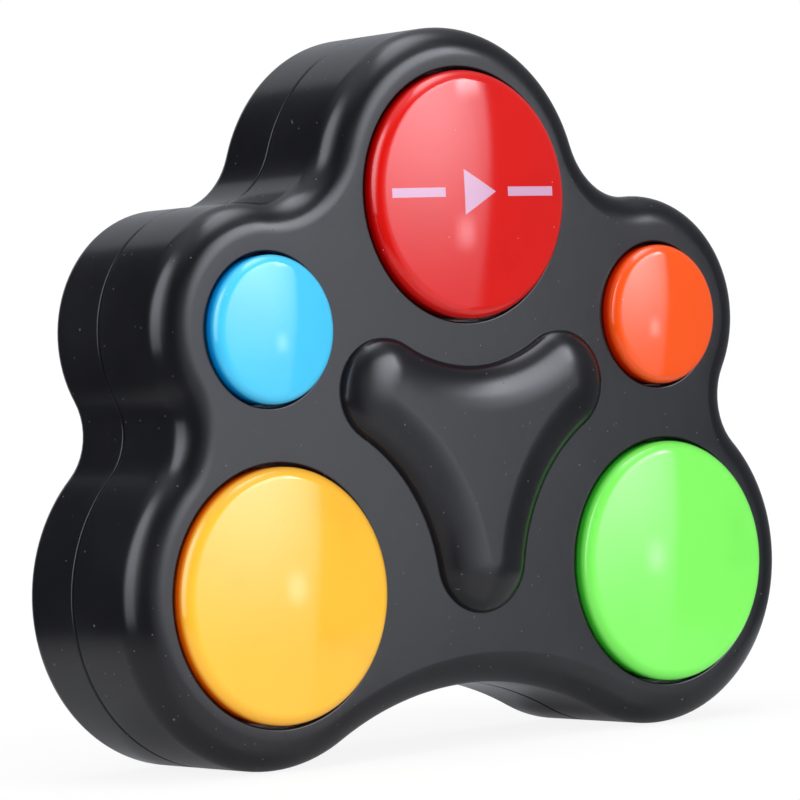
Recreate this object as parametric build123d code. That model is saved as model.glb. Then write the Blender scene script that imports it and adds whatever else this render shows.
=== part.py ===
from build123d import *
import math
import os

# Hand-held electronic memory game: a five-lobed black body with five push buttons.
# It is laid out on its back, in millimetres: x to the right, y up the body from its lowest
# point, z from the flat rear face towards the player. The last function stands it up.

# Body outline
large_lobe_radius = 31.1
small_lobe_radius = 22.8
lower_lobe_offset = 46.2
side_lobe_offset = 46.3
side_lobe_rise = 46.8
top_lobe_rise = 70.0
shoulder_radius = 14.5
waist_radius = 10.9
arch_radius = 67.2

# Body shells
body_depth = 34.2
front_shell_depth = 19.5
wall = 2.2
front_edge_round = 6.0
rear_edge_round = 3.0
seam_bevel = 0.3
lip_thickness = 1.0
lip_height = 1.5
lip_clearance = 0.1
overrun = 1.0

# Raised three-armed pad on the front
arm_radius = 9.7
stem_radius = 9.9
arm_offset = 21.0
arm_drop = 11.8
stem_rise = 34.5
pad_top_join = 31.2
pad_side_join = 34.7
pad_height = 4.2
pad_round = 4.0

# Push buttons
large_hole_radius = 23.5
small_hole_radius = 14.1
hole_edge_round = 0.4
cap_gap = 0.55
cap_edge_height = 3.1
cap_edge_round = 3.7
cap_dome_slope = 7.5
cap_wall = 1.8
cap_roof = 2.0
button_travel = 1.5
collar_wall = 1.6
collar_depth = 8.0
flange_overlap = 1.0
flange_thickness = 1.5
stop_gap = 0.05
pin_radius = 2.6
seat_inner_radius = 4.9
seat_outer_radius = 6.2

# Switches, springs and lamps on the board
switch_side = 6.0
switch_height = 3.5
plunger_radius = 1.75
plunger_root = 2.6
plunger_clearance = 0.1
plunger_spare = 0.5
spring_length = 9.4
spring_radius = 5.3
spring_wire_radius = 0.3
spring_turns = 5
lamp_radius = 1.5
lamp_flange_radius = 1.9
lamp_flange_height = 1.0
lamp_height = 5.3
lamp_tip_share = 0.9
lamp_offset = 8.3

# Circuit board
board_thickness = 1.6
board_margin = 7.0
board_hole_clearance = 0.5
board_post_radius = 2.4
board_post_offsets = (25.5, 19.5)
board_post_rises = (77.0, 42.0)
board_screw_radius = 0.9
board_screw_head_radius = 1.9
board_screw_head_height = 1.2
board_screw_length = 8.0
chip_side = 10.0
chip_height = 1.6
chip_rise = 60.0
capacitor_radius = 2.5
capacitor_height = 7.0
capacitor_bevel = 0.3
capacitor_place = (9.0, 46.0)
resistor_length = 3.2
resistor_width = 1.6
resistor_height = 0.6
resistor_pitch = 3.4
resistor_count = 5
resistor_rise = 50.0
pad_block_side = 2.4
pad_block_height = 1.2

# Shell screws and their bosses
boss_radius = 3.2
rear_boss_radius = 3.6
boss_offsets = (27.3, 33.0, 0.0)
boss_rises = (87.4, 57.0, 19.5)
shell_screw_radius = 1.2
shell_screw_length = 13.0
shell_screw_head_radius = 2.4
shell_screw_head_height = 1.6
screw_clearance = 0.05
screw_well_radius = 2.9
screw_well_depth = 9.0
cross_slot_length = 2.6
cross_slot_width = 0.7
cross_slot_depth = 0.8

# Cells and their compartment
cell_radius = 5.25
cell_length = 43.5
cell_nub_radius = 1.9
cell_nub_length = 1.0
cell_pitch = 10.8
cell_count = 3
cell_clearance = 0.3
compartment_rise = 56.0
compartment_wall = 1.6
contact_thickness = 0.5
contact_width = 8.4
contact_height = 8.0
contact_spring_length = 6.5
contact_spring_radius = 3.6
contact_spring_tip_radius = 2.0
contact_spring_wire = 0.5
contact_tab_width = 2.6
contact_tab_rise = 0.9
tab_slot_clearance = 0.2

# Battery door
door_thickness = 1.8
door_border = 2.0
door_gap = 0.25
door_corner = 2.5
door_ear_radius = 4.8
door_ear_reach = 3.6
door_frame_height = 3.8
door_screw_radius = 1.15
door_screw_length = 7.4
door_screw_head_radius = 2.3
door_screw_head_height = 1.0
door_screw_sink = 1.1
door_boss_radius = 2.9
door_boss_height = 10.0
door_grip_ribs = 5
door_grip_pitch = 2.4
door_grip_width = 1.0
door_grip_depth = 0.4
door_grip_length = 16.0

# Loudspeaker
speaker_radius = 14.0
speaker_clearance = 0.15
speaker_rim_thickness = 1.0
speaker_basket_height = 3.6
speaker_basket_waist = 8.0
speaker_basket_wall = 0.6
speaker_cone_radius = 12.4
speaker_cone_neck = 3.8
speaker_cone_wall = 0.4
magnet_radius = 7.0
magnet_height = 3.0
magnet_bevel = 0.35
gasket_thickness = 0.5
gasket_width = 1.6
speaker_ring_wall = 1.4
speaker_ring_height = 5.0
clip_count = 3
clip_width = 4.0
clip_reach = 0.8
clip_gap = 0.05
grille_hole_radius = 0.9
grille_ring_pitch = 3.6
grille_rings = 3
terminal_width = 7.0
terminal_depth = 2.4
terminal_height = 1.6

# Inner leads
lead_radius = 0.5
lead_bend_radius = 3.0
lead_gap = 0.2
lead_floor_gap = 0.25
speaker_lead_offset = 2.4
speaker_lead_drop = 5.0
speaker_lead_end_rise = 76.0
battery_lead_end_offset = 8.0
battery_lead_end_rise = 76.0
battery_lead_step = 9.0

# Heights through the body, and where the parts of the outline lie
lower_lobe = (lower_lobe_offset, large_lobe_radius)
side_lobe = (side_lobe_offset, large_lobe_radius + side_lobe_rise)
top_lobe = (0, large_lobe_radius + top_lobe_rise)
arm_rise = side_lobe[1] - arm_drop
seam_height = body_depth - front_shell_depth
inner_face = body_depth - wall
flange_top = body_depth - collar_depth - stop_gap
flange_bottom = flange_top - flange_thickness
cap_roof_underside = body_depth + cap_edge_height - cap_roof
door_floor = door_thickness + stop_gap
cell_axis = door_floor + cell_clearance + cell_radius
compartment_roof = cell_axis + cell_radius + cell_clearance
compartment_top = compartment_roof + compartment_wall
board_height = compartment_top + lead_floor_gap + 2 * lead_radius + lead_gap
board_front = board_height + board_thickness
spring_seat = board_front + spring_length
switch_top = board_front + switch_height
plunger_top = switch_top + button_travel + plunger_spare
compartment_length = (
    cell_length + cell_nub_length + contact_spring_length + 2 * contact_thickness
)
compartment_width = cell_count * cell_pitch + 2 * cell_clearance
door_length = compartment_length + 2 * door_border
door_width = compartment_width + 2 * door_border
door_screw_reach = door_width / 2 + door_ear_reach
speaker_floor = wall + gasket_thickness
speaker_top = speaker_floor + speaker_basket_height

# Where each button lies: its node name, its centre and its hole radius
buttons = {
    "start": (top_lobe, large_hole_radius),
    "blue": ((-side_lobe[0], side_lobe[1]), small_hole_radius),
    "orange": (side_lobe, small_hole_radius),
    "yellow": ((-lower_lobe[0], lower_lobe[1]), large_hole_radius),
    "green": (lower_lobe, large_hole_radius),
}


def mirrored(offsets, rises):
    """Places on both sides of the middle, and only one place where the offset is zero."""
    places = []
    for offset, rise in zip(offsets, rises):
        places.append((offset, rise))
        if offset > 0:
            places.append((-offset, rise))
    return places


def joining_centre(first, second, join_radius):
    """Centre of the hollow arc that joins two lobes, on the right of the way between them."""
    (ax, ay, ar), (bx, by, br) = first, second
    reach_a, reach_b = ar + join_radius, br + join_radius
    dx, dy = bx - ax, by - ay
    span = math.hypot(dx, dy)
    along = (reach_a**2 - reach_b**2 + span**2) / (2 * span)
    aside = math.sqrt(reach_a**2 - along**2)
    return (
        ax + (dx * along + dy * aside) / span,
        ay + (dy * along - dx * aside) / span,
    )


def arc_between(centre, radius, start, end, turn):
    """Arc about a centre from one point to another, anticlockwise for a turn of 1."""
    start_angle = math.degrees(math.atan2(start[1] - centre[1], start[0] - centre[0]))
    end_angle = math.degrees(math.atan2(end[1] - centre[1], end[0] - centre[0]))
    sweep = (turn * (end_angle - start_angle)) % 360
    return CenterArc(centre, radius, start_angle, turn * sweep)


def lobed_outline(lobes, joins, inset=0):
    """Flat face whose edge runs anticlockwise round the lobes, with a hollow arc between each two."""
    drawn = [(x, y, radius - inset) for x, y, radius in lobes]
    reaches = [radius + inset for radius in joins]
    middles, leaving, arriving = [], [], []
    for index, lobe in enumerate(drawn):
        following = drawn[(index + 1) % len(drawn)]
        middle = joining_centre(lobe, following, reaches[index])
        middles.append(middle)
        for (x, y, radius), touches in ((lobe, leaving), (following, arriving)):
            share = radius / (radius + reaches[index])
            touches.append((x + (middle[0] - x) * share, y + (middle[1] - y) * share))
    edges = []
    for index, (x, y, radius) in enumerate(drawn):
        edges.append(arc_between((x, y), radius, arriving[index - 1], leaving[index], 1))
        edges.append(
            arc_between(middles[index], reaches[index], leaving[index], arriving[index], -1)
        )
    return make_face(Wire(edges))


def body_outline(inset=0):
    """The five-lobed outline of the body, drawn in by an inset."""
    (side_x, side_y), (lower_x, lower_y) = side_lobe, lower_lobe
    lobes = [
        (*top_lobe, large_lobe_radius),
        (-side_x, side_y, small_lobe_radius),
        (-lower_x, lower_y, large_lobe_radius),
        (lower_x, lower_y, large_lobe_radius),
        (side_x, side_y, small_lobe_radius),
    ]
    joins = [shoulder_radius, waist_radius, arch_radius, waist_radius, shoulder_radius]
    return lobed_outline(lobes, joins, inset)


def pad_outline(inset=0):
    """The three-armed outline of the raised pad, drawn in by an inset."""
    lobes = [
        (-arm_offset, arm_rise, arm_radius),
        (0, stem_rise, stem_radius),
        (arm_offset, arm_rise, arm_radius),
    ]
    return lobed_outline(lobes, [pad_side_join, pad_side_join, pad_top_join], inset)


def column(place, radius, bottom, top):
    """Round column from one height to another."""
    return Pos(*place, bottom) * Cylinder(
        radius, top - bottom, align=(Align.CENTER, Align.CENTER, Align.MIN)
    )


def block(place, length, width, bottom, top):
    """Rectangular block from one height to another."""
    return Pos(*place, bottom) * Box(
        length, width, top - bottom, align=(Align.CENTER, Align.CENTER, Align.MIN)
    )


def slab(face, bottom, top):
    """A flat face drawn up from one height to another."""
    return extrude(Pos(0, 0, bottom) * face, top - bottom)


def edges_at(solid, height):
    """Edges of a solid that lie flat at a height."""
    return solid.edges().filter_by_position(Axis.Z, height, height)


def turned(points_and_arcs):
    """Solid of revolution about the z axis from a closed profile in the XZ plane."""
    return revolve(make_face(Plane.XZ * Wire(points_and_arcs)), Axis.Z)


def front_shell():
    """Front shell: outer skin, raised pad, button collars, screw bosses and board posts."""
    skin = slab(body_outline(), seam_height, body_depth)
    skin = fillet(edges_at(skin, body_depth), front_edge_round)
    pad = slab(pad_outline(), body_depth - wall, body_depth + pad_height)
    pad = fillet(edges_at(pad, body_depth + pad_height), pad_round)

    hollow = slab(body_outline(wall), seam_height - overrun, inner_face)
    hollow = fillet(edges_at(hollow, inner_face), front_edge_round - wall)
    pad_hollow = slab(pad_outline(wall), seam_height, body_depth + pad_height - wall)
    shell = skin + pad - hollow - pad_hollow
    rebate = slab(
        body_outline(wall - lip_thickness - lip_clearance),
        seam_height - overrun,
        seam_height + lip_height + lip_clearance,
    )
    shell -= rebate

    for place, radius in buttons.values():
        shell += column(
            place, radius + collar_wall, body_depth - collar_depth, inner_face + wall / 2
        )
    for place in mirrored(boss_offsets, boss_rises):
        shell += column(place, boss_radius, seam_height, inner_face + wall / 2)
    for place in mirrored(board_post_offsets, board_post_rises):
        shell += column(place, board_post_radius, board_front, inner_face + wall / 2)

    for place, radius in buttons.values():
        shell -= column(place, radius, seam_height, body_depth + overrun)
    for place in mirrored(boss_offsets, boss_rises):
        pilot_top = screw_well_depth + shell_screw_length + overrun
        shell -= column(
            place, shell_screw_radius + screw_clearance, seam_height - overrun, pilot_top
        )
    for place in mirrored(board_post_offsets, board_post_rises):
        pilot_top = board_height + board_screw_length + overrun
        shell -= column(
            place, board_screw_radius + screw_clearance, board_front - overrun, pilot_top
        )

    rims = [
        edge
        for edge in edges_at(shell, body_depth).filter_by(GeomType.CIRCLE)
        if any(
            abs(edge.radius - radius) < hole_edge_round
            and (edge.arc_center - Vector(*place, body_depth)).length < hole_edge_round
            for place, radius in buttons.values()
        )
    ]
    shell = fillet(rims, hole_edge_round)
    return chamfer(outer_seam_edges(shell), seam_bevel)


def outer_seam_edges(shell):
    """Edges of a shell's outer skin at the parting line."""
    outline = body_outline()
    middles = [edge @ 0.5 for edge in outline.edges()]
    return [
        edge
        for edge in edges_at(shell, seam_height)
        if any(
            (Vector(middle.X, middle.Y, seam_height) - edge @ 0.5).length < lip_clearance
            for middle in middles
        )
    ]


def rear_shell():
    """Rear shell: skin, joining lip, screw bosses, cell compartment and loudspeaker seat."""
    skin = slab(body_outline(), 0, seam_height)
    skin = fillet(edges_at(skin, 0), rear_edge_round)
    hollow = slab(body_outline(wall), wall, seam_height + overrun)
    hollow = fillet(edges_at(hollow, wall), rear_edge_round - wall)
    shell = skin - hollow
    shell = chamfer(outer_seam_edges(shell), seam_bevel)
    lip = slab(body_outline(wall - lip_thickness), seam_height - lip_height, seam_height + lip_height)
    shell += lip - slab(
        body_outline(wall), seam_height - lip_height - overrun, seam_height + lip_height + overrun
    )

    for place in mirrored(boss_offsets, boss_rises):
        shell += column(place, rear_boss_radius, wall / 2, seam_height - stop_gap)
    for place in mirrored(boss_offsets, boss_rises):
        shell -= column(place, screw_well_radius, -overrun, screw_well_depth)
        shell -= column(
            place, shell_screw_radius + 2 * screw_clearance, 0, seam_height + overrun
        )
    return speaker_seat(compartment(shell))


def compartment(shell):
    """Adds the cell compartment, the door's frame and the door screws' bosses to a shell."""
    centre = (0, compartment_rise)
    shell += block(
        centre,
        compartment_length + 2 * compartment_wall,
        compartment_width + 2 * compartment_wall,
        wall / 2,
        compartment_top,
    )
    frame = door_face(door_gap + compartment_wall)
    shell += slab(frame, wall / 2, door_frame_height)
    for side in (1, -1):
        place = (0, compartment_rise + side * door_screw_reach)
        shell += column(place, door_boss_radius, wall / 2, door_boss_height)
    shell -= slab(door_face(door_gap), -overrun, door_floor)
    shell -= block(centre, compartment_length, compartment_width, 0, compartment_roof)
    for side in (1, -1):
        place = (0, compartment_rise + side * door_screw_reach)
        pilot_top = door_screw_sink + door_screw_length + stop_gap
        shell -= column(place, door_screw_radius + screw_clearance, 0, pilot_top)
    slot_side = tab_slot_clearance * 2
    for _, side, row in contact_tabs():
        shell -= block(
            (tab_middle(side), row),
            contact_thickness + slot_side,
            contact_tab_width + slot_side,
            compartment_roof - overrun,
            compartment_top + overrun,
        )
    return shell


def door_face(grow):
    """Outline of the battery door with its two screw ears, grown by a margin."""
    plate = Pos(0, compartment_rise) * RectangleRounded(
        door_length + 2 * grow, door_width + 2 * grow, door_corner + grow
    )
    for side in (1, -1):
        plate += Pos(0, compartment_rise + side * door_screw_reach) * Circle(
            door_ear_radius + grow
        )
    return plate


def speaker_seat(shell):
    """Adds the ring that holds the loudspeaker, its clips and the grille holes to a shell."""
    ring_radius = speaker_radius + speaker_clearance
    ring = column(top_lobe, ring_radius + speaker_ring_wall, wall / 2, speaker_ring_height)
    ring -= column(top_lobe, ring_radius, 0, speaker_ring_height + overrun)
    shell += ring
    clip_bottom = speaker_floor + speaker_rim_thickness + clip_gap
    clips = column(top_lobe, ring_radius + speaker_ring_wall / 2, clip_bottom, speaker_ring_height)
    clips -= column(top_lobe, speaker_radius - clip_reach, 0, speaker_ring_height + overrun)
    for index in range(clip_count):
        turn = Rot(0, 0, 90 + index * 360 / clip_count)
        keeper = Pos(*top_lobe) * turn * Pos(speaker_radius, 0, 0) * Box(
            2 * clip_width, clip_width, 2 * speaker_ring_height
        )
        shell += clips & keeper
    for place in grille_places():
        shell -= column(place, grille_hole_radius, -overrun, wall + overrun)
    return shell


def grille_places():
    """Centres of the grille holes: one in the middle and rings of six, twelve and eighteen."""
    places = [top_lobe]
    for ring in range(1, grille_rings + 1):
        for index in range(6 * ring):
            turn = 2 * math.pi * index / (6 * ring)
            places.append(
                (
                    top_lobe[0] + ring * grille_ring_pitch * math.cos(turn),
                    top_lobe[1] + ring * grille_ring_pitch * math.sin(turn),
                )
            )
    return places


def button_cap(place, hole_radius):
    """Domed cap: rounded edge, hollow inside, stop flange, switch pin and spring seat."""
    radius = hole_radius - cap_gap
    slope = math.radians(cap_dome_slope)
    arc_height = body_depth + cap_edge_height - cap_edge_round
    edge_centre = radius - cap_edge_round
    dome_edge = edge_centre + cap_edge_round * math.sin(slope)
    dome_edge_height = arc_height + cap_edge_round * math.cos(slope)
    half = (math.pi / 2 - slope) / 2
    crown = dome_edge_height + dome_edge * math.tan(slope / 2)
    dome_radius = dome_edge / math.sin(slope)
    midway = math.sin(slope / 2) * dome_radius
    midway_height = crown - dome_radius * (1 - math.cos(slope / 2))
    profile = [
        Line((0, flange_bottom), (radius, flange_bottom)),
        Line((radius, flange_bottom), (radius, arc_height)),
        ThreePointArc(
            (radius, arc_height),
            (
                edge_centre + cap_edge_round * math.cos(half),
                arc_height + cap_edge_round * math.sin(half),
            ),
            (dome_edge, dome_edge_height),
        ),
        ThreePointArc((dome_edge, dome_edge_height), (midway, midway_height), (0, crown)),
        Line((0, crown), (0, flange_bottom)),
    ]
    cap = turned(profile)
    cap += column((0, 0), hole_radius + flange_overlap, flange_bottom, flange_top)
    cap -= column((0, 0), radius - cap_wall, flange_bottom - overrun, cap_roof_underside)
    seat = column((0, 0), seat_outer_radius, spring_seat, cap_roof_underside)
    seat -= column((0, 0), seat_inner_radius, spring_seat, cap_roof_underside)
    pin = column((0, 0), pin_radius, plunger_top, cap_roof_underside)
    return Pos(*place) * (cap + seat + pin)


def switch_housing(place):
    """Square push-switch body with a well for its plunger."""
    housing = block(place, switch_side, switch_side, board_front, switch_top)
    well = plunger_radius + plunger_clearance
    return housing - column(place, well, switch_top - plunger_root - stop_gap, switch_top + overrun)


def switch_plunger(place):
    """Switch plunger: it reaches into its well and meets the cap's pin."""
    return column(place, plunger_radius, switch_top - plunger_root + button_travel, plunger_top)


def return_spring(place):
    """Coil spring between the board and the cap's seat, round the switch."""
    height = spring_length - 2 * spring_wire_radius
    path = Helix(height / spring_turns, height, spring_radius)
    coil = sweep(Plane(path @ 0, z_dir=path % 0) * Circle(spring_wire_radius), path, is_frenet=True)
    return Pos(*place, board_front + spring_wire_radius) * coil


def lamp(place):
    """Round light-emitting diode with a domed tip, beside the switch."""
    spot = (place[0] + lamp_offset, place[1])
    body = column(spot, lamp_radius, board_front, board_front + lamp_height)
    body = fillet(edges_at(body, board_front + lamp_height), lamp_radius * lamp_tip_share)
    return body + column(spot, lamp_flange_radius, board_front, board_front + lamp_flange_height)


def circuit_board():
    """Board that follows the body's outline, with holes for the bosses, screws and solder pads."""
    board = slab(body_outline(board_margin), board_height, board_front)
    for place in mirrored(boss_offsets, boss_rises):
        board -= column(place, boss_radius + board_hole_clearance, 0, body_depth)
    for place in mirrored(board_post_offsets, board_post_rises):
        board -= column(place, board_screw_radius + 2 * screw_clearance, 0, body_depth)
    for place in solder_places():
        board += block(
            place, pad_block_side, pad_block_side, board_height - pad_block_height, board_height
        )
    return board


def solder_places():
    """Where the four inner leads are soldered under the board."""
    rows = [
        (speaker_lead_offset, speaker_lead_end_rise),
        (battery_lead_end_offset, battery_lead_end_rise),
    ]
    return [(side * offset, rise) for offset, rise in rows for side in (1, -1)]


def controller_chip():
    """Flat square controller chip on the front of the board."""
    return block((0, chip_rise), chip_side, chip_side, board_front, board_front + chip_height)


def capacitor():
    """Upright round capacitor on the front of the board."""
    can = column(capacitor_place, capacitor_radius, board_front, board_front + capacitor_height)
    return chamfer(edges_at(can, board_front + capacitor_height), capacitor_bevel)


def resistors():
    """Row of small surface-mounted resistors, as separate solids."""
    chips = []
    for index in range(resistor_count):
        x = (index - (resistor_count - 1) / 2) * resistor_pitch
        top = board_front + resistor_height
        chips.append(block((x, resistor_rise), resistor_width, resistor_length, board_front, top))
    return Compound(children=chips)


def cross_head(place, radius, bottom, top):
    """Round screw head with a cross slot in its lower face."""
    head = column(place, radius, bottom, top)
    for length, width in (
        (cross_slot_length, cross_slot_width),
        (cross_slot_width, cross_slot_length),
    ):
        head -= block(place, length, width, bottom - overrun, bottom + cross_slot_depth)
    return head


def shell_screws():
    """Screws that draw the two shells together, in their wells."""
    screws = []
    for place in mirrored(boss_offsets, boss_rises):
        under_head = screw_well_depth - stop_gap
        head = cross_head(
            place, shell_screw_head_radius, under_head - shell_screw_head_height, under_head
        )
        screws.append(
            head + column(place, shell_screw_radius, under_head, under_head + shell_screw_length)
        )
    return Compound(children=screws)


def board_screws():
    """Screws that hold the board to the front shell's posts."""
    screws = []
    for place in mirrored(board_post_offsets, board_post_rises):
        head = column(
            place, board_screw_head_radius, board_height - board_screw_head_height, board_height
        )
        screws.append(
            head + column(place, board_screw_radius, board_height, board_height + board_screw_length)
        )
    return Compound(children=screws)


def battery_door():
    """Door plate with screw ears and shallow grip ribs cut into its outer face."""
    door = slab(door_face(0), 0, door_thickness)
    for side in (1, -1):
        place = (0, compartment_rise + side * door_screw_reach)
        door -= column(place, door_screw_head_radius + screw_clearance, -overrun, door_screw_sink)
        door -= column(place, door_screw_radius + screw_clearance, 0, door_thickness + overrun)
    for index in range(door_grip_ribs):
        y = compartment_rise + (index - (door_grip_ribs - 1) / 2) * door_grip_pitch
        door -= block((0, y), door_grip_length, door_grip_width, -overrun, door_grip_depth)
    return door


def door_screw(side):
    """One of the battery door's two screws."""
    place = (0, compartment_rise + side * door_screw_reach)
    head_bottom = door_screw_sink - door_screw_head_height
    head = cross_head(place, door_screw_head_radius, head_bottom, door_screw_sink)
    return head + column(
        place, door_screw_radius, door_screw_sink, door_screw_sink + door_screw_length
    )


def cell_row(index):
    """Height up the body of one cell's axis."""
    return compartment_rise + (index - (cell_count - 1) / 2) * cell_pitch


def cell(index):
    """One cell, its positive nub to the left for even places and to the right for odd ones."""
    side = -1 if index % 2 == 0 else 1
    nub_tip = side * (compartment_length / 2 - contact_thickness)
    along = Rot(0, -side * 90, 0)
    can = Cylinder(cell_radius, cell_length, align=(Align.CENTER, Align.CENTER, Align.MIN))
    can = fillet(can.edges(), cell_nub_length / 2)
    nub = Pos(0, 0, -cell_nub_length) * Cylinder(
        cell_nub_radius,
        2 * cell_nub_length,
        align=(Align.CENTER, Align.CENTER, Align.MIN),
    )
    start = nub_tip - side * cell_nub_length
    return Pos(start, cell_row(index), cell_axis) * along * (can + nub)


def contact_plate(side, row):
    """Flat contact plate against one end wall of the compartment."""
    middle = tab_middle(side)
    return block(
        (middle, row),
        contact_thickness,
        contact_width,
        cell_axis - contact_height / 2,
        cell_axis + contact_height / 2,
    )


def tab_middle(side):
    """How far along the compartment the middle of a contact plate lies."""
    return side * (compartment_length / 2 - contact_thickness / 2)


def contact_spring(side, row):
    """Tapered contact spring on one end wall of the compartment, as a hollow cone."""
    base = compartment_length / 2 - contact_thickness
    inward = Pos(side * base, row, cell_axis) * Rot(0, -side * 90, 0)
    align = (Align.CENTER, Align.CENTER, Align.MIN)
    outer = Cone(contact_spring_radius, contact_spring_tip_radius, contact_spring_length, align=align)
    inner = Cone(
        contact_spring_radius - contact_spring_wire,
        contact_spring_tip_radius - contact_spring_wire,
        contact_spring_length,
        align=align,
    )
    return inward * (outer - inner)


def contact_tab(side, row):
    """Solder tab from a contact plate up through the compartment's roof."""
    return block(
        (tab_middle(side), row),
        contact_thickness,
        contact_tab_width,
        cell_axis,
        compartment_top + contact_tab_rise,
    )


def contact_tabs():
    """The two contacts with solder tabs: name, end of the compartment, and cell row."""
    last = cell_count - 1
    return [
        ("battery_contact_positive", -1, cell_row(0)),
        ("battery_contact_negative", 1, cell_row(last)),
    ]


def contact_link(side, spring_index, plate_index):
    """Contact that links one cell's negative end to the next cell's positive nub."""
    first, second = cell_row(spring_index), cell_row(plate_index)
    strip = block(
        (tab_middle(side), (first + second) / 2),
        contact_thickness,
        abs(second - first) + contact_width,
        cell_axis - contact_height / 2,
        cell_axis + contact_height / 2,
    )
    return strip + contact_spring(side, first)


def speaker_basket():
    """Loudspeaker basket: flat rim, tapered dish and terminal strip."""
    align = (Align.CENTER, Align.CENTER, Align.MIN)
    dish_height = speaker_basket_height - speaker_rim_thickness
    dish_top = speaker_floor + speaker_rim_thickness
    basket = column(top_lobe, speaker_radius, speaker_floor, dish_top)
    basket += Pos(*top_lobe, dish_top) * Cone(
        speaker_cone_radius + speaker_basket_wall,
        speaker_basket_waist,
        dish_height,
        align=align,
    )
    basket -= column(top_lobe, speaker_cone_radius, 0, dish_top)
    basket -= Pos(*top_lobe, dish_top) * Cone(
        speaker_cone_radius,
        speaker_basket_waist - speaker_basket_wall,
        dish_height - speaker_basket_wall,
        align=align,
    )
    terminal = block(
        (top_lobe[0], terminal_edge() + terminal_depth / 2),
        terminal_width,
        terminal_depth,
        dish_top,
        terminal_top(),
    )
    return basket + terminal


def terminal_edge():
    """Lower edge of the loudspeaker's terminal strip."""
    return top_lobe[1] - speaker_cone_radius - terminal_depth / 2


def terminal_top():
    """Top of the loudspeaker's terminal strip."""
    return speaker_top + terminal_height


def speaker_cone():
    """Thin paper cone inside the basket."""
    align = (Align.CENTER, Align.CENTER, Align.MIN)
    depth = speaker_basket_height - speaker_basket_wall - 2 * speaker_cone_wall
    bottom = speaker_floor
    edge = speaker_cone_radius - speaker_cone_wall
    outer = Cone(edge, speaker_cone_neck, depth, align=align)
    inner = Cone(edge - speaker_cone_wall, speaker_cone_neck, depth - speaker_cone_wall, align=align)
    rim = Cylinder(speaker_cone_radius, speaker_cone_wall, align=align)
    rim -= Cylinder(edge - speaker_cone_wall, speaker_cone_wall, align=align)
    return Pos(*top_lobe, bottom) * (outer - inner + rim)


def speaker_magnet():
    """Round magnet on the back of the basket."""
    disc = column(top_lobe, magnet_radius, speaker_top, speaker_top + magnet_height)
    return chamfer(edges_at(disc, speaker_top + magnet_height), magnet_bevel)


def speaker_gasket():
    """Foam ring between the loudspeaker's rim and the rear shell."""
    ring = column(top_lobe, speaker_radius, wall, speaker_floor)
    return ring - column(top_lobe, speaker_radius - gasket_width, 0, body_depth)


def lead(points):
    """Insulated lead along straight runs joined by arcs."""
    path = FilletPolyline(*points, radius=lead_bend_radius)
    section = Plane(path @ 0, z_dir=path % 0) * Circle(lead_radius)
    return sweep(section, path)


def speaker_lead(side):
    """Lead from the loudspeaker's terminal strip up to the board."""
    x = side * speaker_lead_offset
    start = terminal_edge()
    low = terminal_top() - lead_radius
    high = board_height - lead_gap - lead_radius
    turn = start - speaker_lead_drop
    return lead(
        [
            (x, start, low),
            (x, turn, low),
            (x, turn, high),
            (x, speaker_lead_end_rise + pad_block_side / 2, high),
        ]
    )


def battery_lead(side, row):
    """Lead from a contact's solder tab to the board."""
    edge = tab_middle(side) - side * contact_thickness / 2
    high = board_height - lead_gap - lead_radius
    end = side * (battery_lead_end_offset + pad_block_side / 2)
    turn = edge - side * battery_lead_step
    return lead(
        [
            (edge, row, high),
            (turn, row, high),
            (turn, battery_lead_end_rise, high),
            (end, battery_lead_end_rise, high),
        ]
    )


def proud_height():
    """How far the tallest cap stands in front of the body's flat face."""
    radius = large_hole_radius - cap_gap
    slope = math.radians(cap_dome_slope)
    dome_edge = radius - cap_edge_round + cap_edge_round * math.sin(slope)
    lost = cap_edge_round * (1 - math.cos(slope))
    return cap_edge_height - lost + dome_edge * math.tan(slope / 2)


def build():
    """All sub-parts by node name, laid out on their back."""
    parts = {
        "front_shell": front_shell(),
        "rear_shell": rear_shell(),
        "battery_door": battery_door(),
        "battery_door_screw_upper": door_screw(1),
        "battery_door_screw_lower": door_screw(-1),
        "circuit_board": circuit_board(),
        "controller_chip": controller_chip(),
        "capacitor": capacitor(),
        "resistors": resistors(),
        "shell_screws": shell_screws(),
        "board_screws": board_screws(),
        "speaker_basket": speaker_basket(),
        "speaker_cone": speaker_cone(),
        "speaker_magnet": speaker_magnet(),
        "speaker_gasket": speaker_gasket(),
        "battery_link_right": contact_link(1, 0, 1),
        "battery_link_left": contact_link(-1, 1, 2),
        "speaker_lead_left": speaker_lead(-1),
        "speaker_lead_right": speaker_lead(1),
    }
    for name, (place, hole_radius) in buttons.items():
        parts[f"{name}_button_cap"] = button_cap(place, hole_radius)
        parts[f"{name}_switch_plunger"] = switch_plunger(place)
        parts[f"{name}_switch_housing"] = switch_housing(place)
        parts[f"{name}_return_spring"] = return_spring(place)
        parts[f"{name}_lamp"] = lamp(place)
    for index in range(cell_count):
        parts[f"battery_{index + 1}"] = cell(index)
    for name, side, row in contact_tabs():
        parts[name] = contact_plate(side, row) + contact_tab(side, row)
        parts[name.replace("contact", "lead")] = battery_lead(side, row)
    parts["battery_contact_negative"] += contact_spring(1, cell_row(cell_count - 1))
    return parts


def stand_up(shape):
    """Stands the game on its two lower lobes, its front towards -y, centred front to back."""
    middle = (body_depth + proud_height()) / 2
    return Pos(0, middle, 0) * Rot(90, 0, 0) * shape


os.makedirs("parts", exist_ok=True)
for node, shape in build().items():
    export_step(stand_up(shape), f"parts/{node}.step")
print("proud height of the large caps", round(proud_height(), 3))
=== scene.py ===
"""Dress, studio and camera for a hand-held memory game with five round push buttons.

Shapes are made in millimetres with the game lying on its back, as a toolmaker would draw it:
x to the right, y up the body, z from the rear face to the player. They are then stood up.
"""

from __future__ import annotations

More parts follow.
